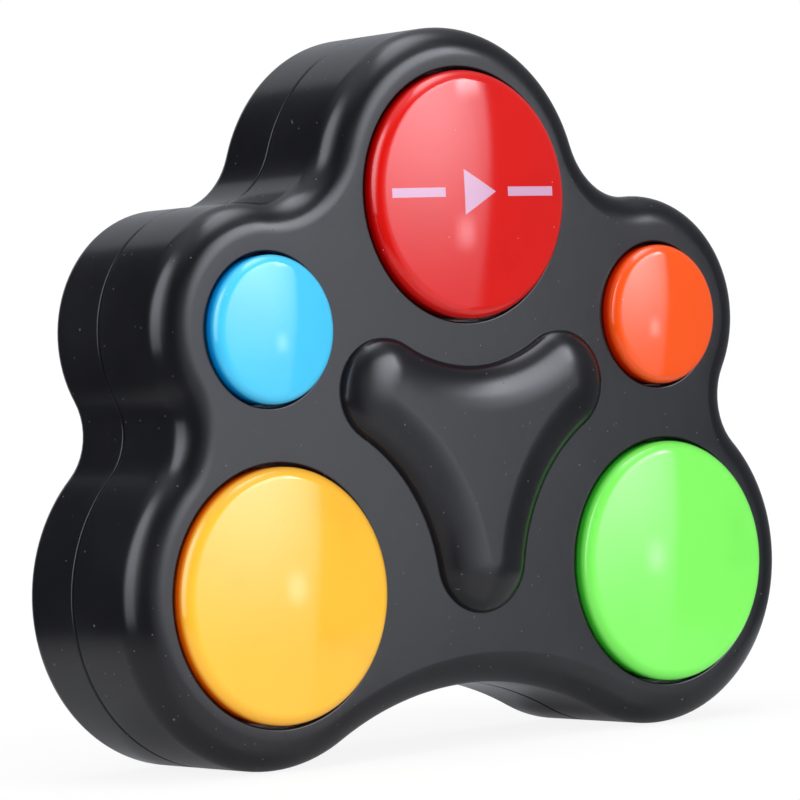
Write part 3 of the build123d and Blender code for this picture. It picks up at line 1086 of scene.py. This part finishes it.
@dataclass(frozen=True)
class PlainFinish(Finish):
    """A simple finish for inner and small pieces, with mild variation of colour and gloss."""

    name: str
    colour: Colour
    second: Colour
    roughness: float
    metallic: float = 0.0
    scale: float = 180.0
    grain_ratio: float = 9.0
    cloud_range: Point = (0.3, 0.7)
    cloud_roughness: float = 0.1
    grain_roughness: float = 0.08
    bump_strength: float = 0.4
    grain_depth: float = 0.00002

    def surface(self, shader: Shader) -> Value:
        """Varies the colour, and the roughness evenly about the given one.

        Args:
            shader: the material's shader.

        Returns:
            The surface.
        """
        place = shader.place()
        cloud = shader.noise(place, self.scale, detail=3.0)
        grain = shader.noise(place, self.scale * self.grain_ratio, rough=0.6)
        mottled = cloud * self.cloud_roughness + grain * self.grain_roughness
        smoothest = self.roughness - (self.cloud_roughness + self.grain_roughness) / 2
        return shader.surface(
            {
                "Base Color": shader.mix(cloud.step(*self.cloud_range), self.colour, self.second),
                "Roughness": mottled + smoothest,
                "Metallic": self.metallic,
                "Normal": shader.bump(grain, self.bump_strength, self.grain_depth),
            }
        )


@dataclass(frozen=True)
class PaleFloor(Finish):
    """White to the camera but for the shadow, and clear from below and far off in gloss."""

    name: str = "pale_floor"
    colour: Colour = (0.93, 0.93, 0.93)
    white_near: float = 0.88
    white_reach: Point = (0.07, 0.13)
    white_in_gloss: float = 0.1
    clear_near: float = 0.4
    clear_reach: Point = (0.1, 0.19)

    def surface(self, shader: Shader) -> Value:
        """Mixes a lit, a white and a clear surface by the kind of ray and the distance.

        Args:
            shader: the material's shader.

        Returns:
            The surface.
        """
        x, y, _ = shader.axes(shader.place())
        reach = (x * x + y * y).power(0.5)
        lit = shader.add("ShaderNodeBsdfDiffuse", None, {"Color": self.colour})
        white = shader.add("ShaderNodeEmission", None, {"Color": WHITE, "Strength": 1.0})
        clear = shader.add("ShaderNodeBsdfTransparent", None, {"Color": WHITE})
        seen, glossy = shader.rays()
        shown = reach.step(*self.white_reach) * (1.0 - self.white_near) + self.white_near
        share = seen * shown + glossy * self.white_in_gloss
        solid = shader.add("ShaderNodeMixShader", None, [share, lit, white])
        faded = reach.step(*self.clear_reach) * (1.0 - self.clear_near) + self.clear_near
        below = shader.add("ShaderNodeNewGeometry", output="Backfacing")
        return shader.add(
            "ShaderNodeMixShader", None, [(glossy * faded).maximum(below), solid, clear]
        )


class Inner(Enum):
    """Finishes of the small and inner pieces."""

    SCREW = PlainFinish("plated_screw_steel", (0.52, 0.52, 0.53), (0.42, 0.42, 0.43), 0.32, 1.0)
    BOARD = PlainFinish("board_green", (0.02, 0.16, 0.05), (0.015, 0.12, 0.04), 0.38)
    CHIP = PlainFinish("moulded_chip", (0.02, 0.02, 0.022), (0.03, 0.03, 0.03), 0.5)
    SLEEVE = PlainFinish("capacitor_sleeve", (0.02, 0.03, 0.12), (0.02, 0.03, 0.09), 0.3)
    SPEAKER = PlainFinish("plated_speaker_steel", (0.5, 0.5, 0.5), (0.4, 0.4, 0.4), 0.35, 1.0)
    PAPER = PlainFinish("cone_paper", (0.025, 0.025, 0.025), (0.04, 0.04, 0.04), 0.8, 0.0, 500.0)
    FOAM = PlainFinish("seal_foam", (0.03, 0.03, 0.03), (0.05, 0.05, 0.05), 0.9, 0.0, 900.0)
    CONTACT = PlainFinish("nickel_contact", (0.66, 0.64, 0.6), (0.56, 0.54, 0.5), 0.28, 1.0)
    RED_LEAD = PlainFinish("red_lead", (0.5, 0.02, 0.02), (0.4, 0.02, 0.02), 0.45)
    BLACK_LEAD = PlainFinish("black_lead", (0.02, 0.02, 0.02), (0.03, 0.03, 0.03), 0.45)
    CELL = PlainFinish("cell_wrapper", (0.2, 0.21, 0.23), (0.16, 0.17, 0.19), 0.3, 0.3)
    PLUNGER = PlainFinish("plunger_plastic", (0.72, 0.72, 0.68), (0.66, 0.66, 0.62), 0.45)
    SWITCH = PlainFinish("switch_plastic", (0.02, 0.02, 0.022), (0.03, 0.03, 0.03), 0.45)
    SPRING = PlainFinish("spring_wire", (0.6, 0.6, 0.6), (0.5, 0.5, 0.5), 0.25, 1.0)


LAMP_ROUGHNESS = 0.16
INNER_NODES: dict[Inner, tuple[str, ...]] = {
    Inner.SCREW: (
        "battery_door_screw_upper",
        "battery_door_screw_lower",
        "shell_screws",
        "board_screws",
    ),
    Inner.BOARD: ("circuit_board",),
    Inner.CHIP: ("controller_chip", "resistors"),
    Inner.SLEEVE: ("capacitor",),
    Inner.SPEAKER: ("speaker_basket", "speaker_magnet"),
    Inner.PAPER: ("speaker_cone",),
    Inner.FOAM: ("speaker_gasket",),
    Inner.CONTACT: (
        "battery_contact_positive",
        "battery_contact_negative",
        "battery_link_left",
        "battery_link_right",
    ),
    Inner.RED_LEAD: ("battery_lead_positive", "speaker_lead_left"),
    Inner.BLACK_LEAD: ("battery_lead_negative", "speaker_lead_right"),
    Inner.CELL: ("battery_1", "battery_2", "battery_3"),
}


# Sub-assemblies


@dataclass
class Shells:
    """The two black shells of the body."""

    stand: Matrix
    body: BodySizes = field(default_factory=BodySizes)
    pad: PadSizes = field(default_factory=PadSizes)
    rear: RearSizes = field(default_factory=RearSizes)

    def build(self, finish: bpy.types.Material) -> list[bpy.types.Object]:
        """Builds and dresses both shells.

        Args:
            finish: the black plastic.

        Returns:
            The two pieces.
        """
        front = self._front()
        rear = self._rear()
        for piece, node in ((front, "front_shell"), (rear, "rear_shell")):
            piece.data.materials.append(finish)
            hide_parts(node)
            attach(piece, "case")
        return [front, rear]

    def _rounded_wall(
        self, work: Workpiece, seam: float, edge: float, radius: float, away: float
    ) -> list[Edges]:
        """Loops of the outer wall from the seam to a rounded face.

        Args:
            work: the mesh being shaped.
            seam: the seam's height.
            edge: the face's height.
            radius: the rounding's radius.
            away: 1 where the face lies above the seam and -1 where it lies below.

        Returns:
            The loops in order, ending on the face.
        """
        outline = body_outline(self.body)
        foot = seam + away * self.body.seam_gap / 2
        start = edge - away * radius
        small = self.body.seam_round
        rings = [
            (small * (1 - sine), foot + away * small * (1 - cosine))
            for sine, cosine in quarter_turn(Fineness.seam_steps)
        ]
        rings += [
            (radius * (1 - cosine), start + away * radius * sine)
            for sine, cosine in quarter_turn(Fineness.round_steps)
        ]
        return [
            work.lobed_loop(outline, inset + self.body.skin, height) for inset, height in rings
        ]

    def _front(self) -> bpy.types.Object:
        """Builds the front shell.

        Returns:
            The shell with its pad and button holes.
        """
        body = self.body
        work = Workpiece("front_shell_moulding")
        wall = self._rounded_wall(work, body.seam, body.depth, body.front_round, 1.0)
        work.bridge(wall)
        rims = [self._hole(work, place, radius) for place, radius in body.buttons().values()]
        pad = self._pad_loops(work)
        work.bridge(pad)
        work.fill(wall[-1], pad[0], *rims)
        work.fill(pad[-1])
        piece = work.finish(self.stand)
        thick = piece.modifiers.new("wall", "SOLIDIFY")
        thick.thickness = body.wall * MILLIMETRE
        thick.offset = -1.0
        thick.use_even_offset = True
        # The wall is made first and its shading is evened after that.
        piece.modifiers.move(1, 0)
        return piece

    def _hole(self, work: Workpiece, place: Point, radius: float) -> Edges:
        """Adds one button hole's rounded rim and collar.

        Args:
            work: the front shell's mesh.
            place: the hole's centre.
            radius: the hole's radius.

        Returns:
            The rim's loop on the face.
        """
        body = self.body
        path = [
            (radius + body.hole_round * (1 - sine), body.depth - body.hole_round * (1 - cosine))
            for sine, cosine in quarter_turn(Fineness.hole_steps)
        ]
        path.append((radius, body.depth - body.collar_depth))
        return work.tube(place, path, Fineness.hole_segments)[0]

    def _pad_loops(self, work: Workpiece) -> list[Edges]:
        """Adds the raised pad's loops.

        Args:
            work: the front shell's mesh.

        Returns:
            The loops from the pad's base to its crown.
        """
        pad = self.pad
        outline = pad_outline(pad)
        return [
            work.lobed_loop(
                outline, pad.slope_width * (1 - cosine), self.body.depth + pad.height * sine
            )
            for sine, cosine in quarter_turn(Fineness.pad_steps)
        ]

    def _rear(self) -> bpy.types.Object:
        """Builds the rear shell.

        Returns:
            The shell with its screw wells, cell box, door recess and grille.
        """
        body, rear = self.body, self.rear
        work = Workpiece("rear_shell_moulding")
        outer = self._rounded_wall(work, body.seam, 0.0, body.rear_round, -1.0)
        outline = body_outline(body)
        inner = [
            work.lobed_loop(outline, body.wall, body.seam),
            work.lobed_loop(outline, body.wall, body.wall),
        ]
        work.bridge([*reversed(outer), *inner])
        face_rims: list[Edges] = []
        floor_rims: list[Edges] = []
        for place in rear.boss_places:
            face_rims.append(self._well(work, place, floor_rims))
        grille_hole = [(rear.grille_hole, 0.0), (rear.grille_hole, body.wall)]
        for place in self.grille_places():
            rim, inside = work.tube(place, grille_hole, Fineness.small_segments)
            face_rims.append(rim)
            floor_rims.append(inside)
        face_rims.append(self._door_recess(work, floor_rims))
        work.fill(outer[-1], *face_rims)
        work.fill(inner[-1], *floor_rims)
        return work.finish(self.stand)

    def _well(self, work: Workpiece, place: Point, floor_rims: list[Edges]) -> Edges:
        """Adds one screw well and its boss.

        Args:
            work: the rear shell's mesh.
            place: the well's centre.
            floor_rims: rims in the inner floor, which the boss's foot joins.

        Returns:
            The well's rim on the rear face.
        """
        rear = self.rear
        path = [
            (rear.well_radius + rear.well_round, 0.0),
            (rear.well_radius, rear.well_round),
            (rear.well_radius, rear.well_depth),
            (rear.screw_hole, rear.well_depth),
            (rear.screw_hole, rear.boss_top),
            (rear.boss_radius, rear.boss_top),
            (rear.boss_radius, self.body.wall),
        ]
        loops = work.tube(place, path, Fineness.well_segments)
        floor_rims.append(loops[-1])
        return loops[0]

    def _door_recess(self, work: Workpiece, floor_rims: list[Edges]) -> Edges:
        """Adds the door's recess, the cell box and the door screws' bosses.

        Args:
            work: the rear shell's mesh.
            floor_rims: rims in the inner floor, which the box's and the bosses' feet join.

        Returns:
            The recess's rim on the rear face.
        """
        rear, wall = self.rear, self.body.wall
        rim, floor = work.prism(self.door_corners(rear.door_gap), 0.0, rear.door_recess)
        mouth, roof = work.prism(self.box_corners(0.0), rear.door_recess, rear.cell_box_roof)
        work.fill(roof)
        outer_roof = rear.cell_box_roof + rear.cell_box_wall
        outside, top = work.prism(self.box_corners(rear.cell_box_wall), wall, outer_roof)
        work.fill(top)
        floor_rims.append(outside)
        pilots = []
        for side in (1, -1):
            place = (0.0, rear.cell_box_rise + side * self.ear_reach())
            for radius, low, high, rims in (
                (rear.door_pilot_radius, rear.door_recess, rear.door_pilot_top, pilots),
                (rear.door_boss_radius, wall, rear.door_boss_top, floor_rims),
            ):
                path = [(radius, low), (radius, high)]
                foot, head = work.tube(place, path, Fineness.small_segments)
                work.fill(head)
                rims.append(foot)
        work.fill(floor, mouth, *pilots)
        return rim

    def ear_reach(self) -> float:
        """How far the door screws lie from the middle of the door."""
        rear = self.rear
        return rear.cell_box[1] / 2 + rear.door_border + rear.door_ear_reach

    def box_corners(self, grow: float) -> list[Round]:
        """Sharp corners of the cell box.

        Args:
            grow: how far the box is grown on every side.

        Returns:
            Each corner's place and radius.
        """
        half_x = self.rear.cell_box[0] / 2 + grow
        half_y = self.rear.cell_box[1] / 2 + grow
        rise = self.rear.cell_box_rise
        turns = ((1, -1), (1, 1), (-1, 1), (-1, -1))
        return [((x * half_x, rise + y * half_y), 0.0) for x, y in turns]

    def door_corners(self, grow: float) -> list[Round]:
        """Corners of the battery door with its two screw ears.

        Args:
            grow: how far the door is grown on every side.

        Returns:
            Each corner's place and radius.
        """
        rear = self.rear
        half_x = rear.cell_box[0] / 2 + rear.door_border + grow
        half_y = rear.cell_box[1] / 2 + rear.door_border + grow
        radius = rear.door_ear_radius + grow
        middle = self.ear_reach()
        first = math.asin((half_y - middle) / radius)
        steps = Fineness.ear_steps
        turns = [first + (math.pi - 2 * first) * i / steps for i in range(steps + 1)]
        ear = [(radius * math.cos(turn), middle + radius * math.sin(turn)) for turn in turns]
        corner = rear.door_corner + grow
        rise = rear.cell_box_rise
        upper = [((x, rise + y), 0.0) for x, y in ear]
        lower = [((-x, rise - y), 0.0) for x, y in ear]
        return [
            ((half_x, rise - half_y), corner),
            ((half_x, rise + half_y), corner),
            *upper,
            ((-half_x, rise + half_y), corner),
            ((-half_x, rise - half_y), corner),
            *lower,
        ]

    def grille_places(self) -> list[Point]:
        """Finds the loudspeaker grille's holes.

        Returns:
            The holes' centres, ring by ring.
        """
        x, y = self.body.top
        places = [(x, y)]
        for ring in range(1, self.rear.grille_rings + 1):
            reach = ring * self.rear.grille_pitch
            count = ring * self.rear.grille_first_ring
            for i in range(count):
                turn = math.tau * i / count
                places.append((x + reach * math.cos(turn), y + reach * math.sin(turn)))
        return places


class ButtonColour(Enum):
    """Each button's body colour and its deeper edge colour, which is also laid on the cap's side
    by the gap as painted shade.
    """

    START = ((0.72, 0.009, 0.006), (0.3, 0.0, 0.0))
    BLUE = ((0.07, 0.61, 0.95), (0.0, 0.2, 0.55))
    ORANGE = ((0.97, 0.1, 0.01), (0.45, 0.012, 0.0))
    YELLOW = ((0.97, 0.53, 0.04), (0.55, 0.07, 0.0))
    GREEN = ((0.22, 0.92, 0.12), (0.03, 0.36, 0.02))


@dataclass
class Button:
    """One domed button cap."""

    name: str
    place: Point
    hole: float
    colours: ButtonColour
    stand: Matrix
    body: BodySizes = field(default_factory=BodySizes)
    cap: CapSizes = field(default_factory=CapSizes)

    def build(self) -> bpy.types.Object:
        """Builds and dresses the cap.

        Returns:
            The cap.
        """
        piece = self._cap()
        body_colour, edge_and_shade_colour = self.colours.value
        centre = self.stand @ Vector((*self.place, self.body.depth))
        finish = ButtonPlastic(
            name=f"{self.name}_cap_plastic",
            colour=body_colour,
            edge=edge_and_shade_colour,
            centre=tuple(centre),
            radius=(self.hole - self.cap.gap) * MILLIMETRE,
            face_depth=self.cap.edge_height * MILLIMETRE,
            sign=StartSign() if self.name == "start" else None,
        )
        piece.data.materials.append(finish.material())
        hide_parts(f"{self.name}_button_cap")
        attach(piece, f"{self.name}_button")
        return piece

    def _cap(self) -> bpy.types.Object:
        """Spins the cap's closed profile: dome, rounded edge, skirt, flange and hollow.

        Returns:
            The cap without its finish.
        """
        cap = self.cap
        radius = self.hole - cap.gap
        slope = math.radians(cap.dome_slope)
        edge_centre = (radius - cap.edge_round, self.body.depth + cap.edge_height - cap.edge_round)
        dome_radius = cap.dome_reach(radius) / math.sin(slope)
        crown = self.body.depth + cap.proud(radius)
        roof = self.body.depth + cap.edge_height - cap.roof
        bore = radius - cap.wall
        flange = self.hole + cap.flange_overlap
        moves = [
            Sweep((0.0, crown - dome_radius), slope, Fineness.cap_dome_steps),
            Sweep(edge_centre, math.pi / 2 - slope, Fineness.cap_edge_steps),
            Run((radius, cap.flange_top)),
            Run((flange, cap.flange_top)),
            Run((flange, cap.flange_bottom)),
            Run((bore, cap.flange_bottom)),
            Run((bore, roof)),
            Run((0.0, roof)),
        ]
        work = Workpiece(f"{self.name}_cap_moulding")
        work.turn(work.trace((0.0, crown), moves), Fineness.cap_segments)
        work.move(self.place)
        return work.finish(self.stand)


@dataclass
class InnerPieces:
    """The pieces inside the body and on its back that keep their engineered shapes."""

    nodes: dict[str, bpy.types.Object]
    buttons: Sequence[str]

    def dress(self, shell: bpy.types.Material) -> int:
        """Gives every kept piece its finish.

        Args:
            shell: the black plastic, for the battery door.

        Returns:
            How many pieces were dressed.
        """
        plan: dict[str, bpy.types.Material] = {"battery_door": shell}
        made = {kind: kind.value.material() for kind in Inner}
        for kind, nodes in INNER_NODES.items():
            plan.update({node: made[kind] for node in nodes})
        for name in self.buttons:
            plan[f"{name}_switch_plunger"] = made[Inner.PLUNGER]
            plan[f"{name}_switch_housing"] = made[Inner.SWITCH]
            plan[f"{name}_return_spring"] = made[Inner.SPRING]
            body_colour, edge_and_shade_colour = ButtonColour[name.upper()].value
            lamp = PlainFinish(f"{name}_lamp_resin", body_colour, edge_and_shade_colour, LAMP_ROUGHNESS)
            plan[f"{name}_lamp"] = lamp.material()
        for node, material in plan.items():
            piece = self.nodes[node]
            piece.data.materials.clear()
            piece.data.materials.append(material)
        return len(plan)


# Studio


@dataclass(frozen=True)
class Panel:
    """A soft-edged panel of the studio that gloss reflects, in degrees from the front.

    Each limit holds where the panel starts to show and where it is at its full level. The lean
    is how far its upright edges move to the right for each degree of elevation.
    """

    left: Point
    right: Point
    low: Point
    high: Point
    level: float
    lean: float = 0.0

    def brightness(self, azimuth: Value, elevation: Value) -> Value:
        """How bright the panel makes a direction.

        Args:
            azimuth: degrees to the right of the front.
            elevation: degrees above the level.

        Returns:
            The brightness.
        """
        across = azimuth - elevation * self.lean
        wide = across.step(*self.left) * across.step(*self.right)
        tall = elevation.step(*self.low) * elevation.step(*self.high)
        return wide * tall * self.level


@dataclass(frozen=True)
class Lamp:
    """A rectangular lamp that lights colours and doesn't show in gloss."""

    name: str
    place: Place
    size: Point
    power: float


@dataclass
class Studio:
    """Plain white studio: floor, lamps, surroundings and the camera."""

    floor_x: Point = (-0.38, 0.2)
    floor_y: Point = (-0.13, 0.2)
    ambient: float = 0.5
    cool: Colour = (0.97, 0.99, 1.08)
    panels: tuple[Panel, ...] = (
        # The window at the front right, in two layers, with a bright strip at its edge.
        Panel((-4, 31), (44.5, 31), (-14, 25), (38, 31), 4, 0.15),
        Panel((-4, 31), (43, 41.2), (-14, 25), (38, 31), 3.4, 0.17),
        Panel((36, 37.5), (41.5, 40.5), (13, 16), (31, 28), 8, 0.17),
        # Weak fill from the front, from the right and from behind.
        Panel((-30, 12), (42.7, 39.9), (-60, -40), (40, 10), 0.9),
        Panel((40.3, 43.3), (180, 100), (-60, -40), (80, 20), 0.2),
        Panel((100, 170), (181, 180), (-30, -10), (80, 40), 0.5),
        # The window at the left, in two layers.
        Panel((-112, -104), (-66, -80), (-14, -8), (64, 46), 2),
        Panel((-122, -98), (-46, -84), (-16, 26), (66, 44), 3),
        # The ceiling: its bright right half, the even whole and a weak front end.
        Panel((-25, 25), (170, 120), (52, 74), (100, 95), 4),
        Panel((-181, -180), (181, 180), (30, 84), (100, 95), 1),
        Panel((0, 25), (60, 45), (20, 32), (75, 50), 0.5),
        # The small glint on the caps.
        Panel((34.9, 37.6), (40.4, 37.8), (-5.2, -2.4), (0.8, -2.2), 3.6),
    )
    base_level: float = 0.03
    lamps: tuple[Lamp, ...] = (
        Lamp("key", (0.45, -1.2, 0.55), (0.9, 0.7), 6.5),
        Lamp("left", (-1.1, -0.45, 0.5), (0.6, 0.9), 7.5),
        Lamp("top", (-0.05, -0.15, 1.3), (1.0, 1.0), 7.0),
    )
    lamp_target: Place = (0.0, 0.0, 0.065)
    camera_place: Place = (-0.47651, -0.57958, 0.07117)
    camera_right: Place = (0.77469755, -0.63051357, -0.04792014)
    camera_up: Place = (0.04310688, -0.02294665, 0.99880691)
    focal_pixels: float = 4044.598
    clip: Point = (0.05, 20.0)

    def build(self) -> None:
        """Builds the whole studio."""
        self._surroundings()
        self._floor()
        for lamp in self.lamps:
            self._lamp(lamp)
        self._camera()
        bpy.context.scene.view_settings.view_transform = "Standard"

    def _surroundings(self) -> None:
        """The world: white to the camera, panels to gloss and an even level to the rest."""
        world = bpy.data.worlds.new("studio")
        bpy.context.scene.world = world
        world.use_nodes = True
        shader = Shader(world.node_tree)
        x, y, z = shader.axes(shader.add("ShaderNodeTexCoord", output="Generated"))
        azimuth = x.bearing(-y)
        elevation = z.tilt()
        level: Value | float = self.base_level
        for panel in self.panels:
            level = level + panel.brightness(azimuth, elevation)
        seen, glossy = shader.rays()
        plain = (1.0 - glossy) * self.ambient + glossy * level
        strength = seen + plain * (1.0 - seen)
        colour = shader.mix(seen, self.cool, WHITE)
        sockets = {"Color": colour, "Strength": strength}
        shader.output("ShaderNodeOutputWorld", shader.add("ShaderNodeBackground", None, sockets))

    def _floor(self) -> None:
        """Pale table top that reads as white to the camera and keeps a soft shadow."""
        (left, right), (front, back) = self.floor_x, self.floor_y
        middle = Matrix.Translation(((left + right) / 2, (front + back) / 2, 0.0))
        spread = Matrix.Diagonal((right - left, back - front, 1.0, 1.0))
        mesh = bmesh.new()
        bmesh.ops.create_grid(mesh, x_segments=1, y_segments=1, size=0.5, matrix=middle @ spread)
        data = bpy.data.meshes.new("floor")
        mesh.to_mesh(data)
        mesh.free()
        floor = bpy.data.objects.new("floor", data)
        bpy.context.scene.collection.objects.link(floor)
        data.materials.append(PaleFloor().material())

    def _lamp(self, lamp: Lamp) -> None:
        """Adds a lamp that faces the object.

        Args:
            lamp: its place, size and power.
        """
        light = bpy.data.lights.new(lamp.name, "AREA")
        light.shape = "RECTANGLE"
        light.size, light.size_y = lamp.size
        light.energy = lamp.power
        shown = bpy.data.objects.new(lamp.name, light)
        towards = Vector(self.lamp_target) - Vector(lamp.place)
        turn = towards.to_track_quat("-Z", "Y").to_matrix().to_4x4()
        shown.matrix_world = Matrix.Translation(lamp.place) @ turn
        shown.visible_glossy = False
        bpy.context.scene.collection.objects.link(shown)

    def _camera(self) -> None:
        """Camera at the photograph's place, turn and angle of view."""
        data = bpy.data.cameras.new("camera")
        data.sensor_width = SENSOR_WIDTH
        data.lens = self.focal_pixels / PHOTO_SIDE * SENSOR_WIDTH
        data.clip_start, data.clip_end = self.clip
        camera = bpy.data.objects.new("camera", data)
        bpy.context.scene.collection.objects.link(camera)
        right, up = Vector(self.camera_right), Vector(self.camera_up)
        turn = Matrix((right, up, right.cross(up))).transposed().to_4x4()
        camera.matrix_world = Matrix.Translation(self.camera_place) @ turn
        bpy.context.scene.camera = camera


def standing(body: BodySizes, cap: CapSizes) -> Matrix:
    """Matrix that stands the flat layout up in the row frame, in metres.

    Args:
        body: the body's sizes.
        cap: the caps' sizes, because the tallest cap sets the depth.

    Returns:
        The matrix.
    """
    middle = (body.depth + cap.proud(body.large_hole - cap.gap)) / 2
    return (
        Matrix.Scale(MILLIMETRE, 4)
        @ Matrix.Translation((0.0, middle, 0.0))
        @ Matrix.Rotation(math.pi / 2, 4, "X")
    )


def main() -> None:
    """Builds the dressed game, its studio and its camera."""
    logging.basicConfig(level=logging.INFO, format="%(name)s: %(message)s")
    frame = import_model()
    body, large_cap = BodySizes(), CapSizes()
    small_cap = replace(large_cap, edge_round=large_cap.small_edge_round)
    stand = standing(body, large_cap)
    shell_finish = SatinBlack().material()
    shells = Shells(stand, body)
    for piece in shells.build(shell_finish):
        log.info("made %s with %d faces", piece.name, len(piece.data.polygons))
    for name, (place, hole) in body.buttons().items():
        cap = large_cap if hole == body.large_hole else small_cap
        piece = Button(name, place, hole, ButtonColour[name.upper()], stand, body, cap).build()
        log.info("made %s with %d faces", piece.name, len(piece.data.polygons))
    inner = InnerPieces(frame["nodes"], list(body.buttons()))
    log.info("dressed %d kept pieces", inner.dress(shell_finish))
    Studio().build()


if __name__ == "__main__":
    main()
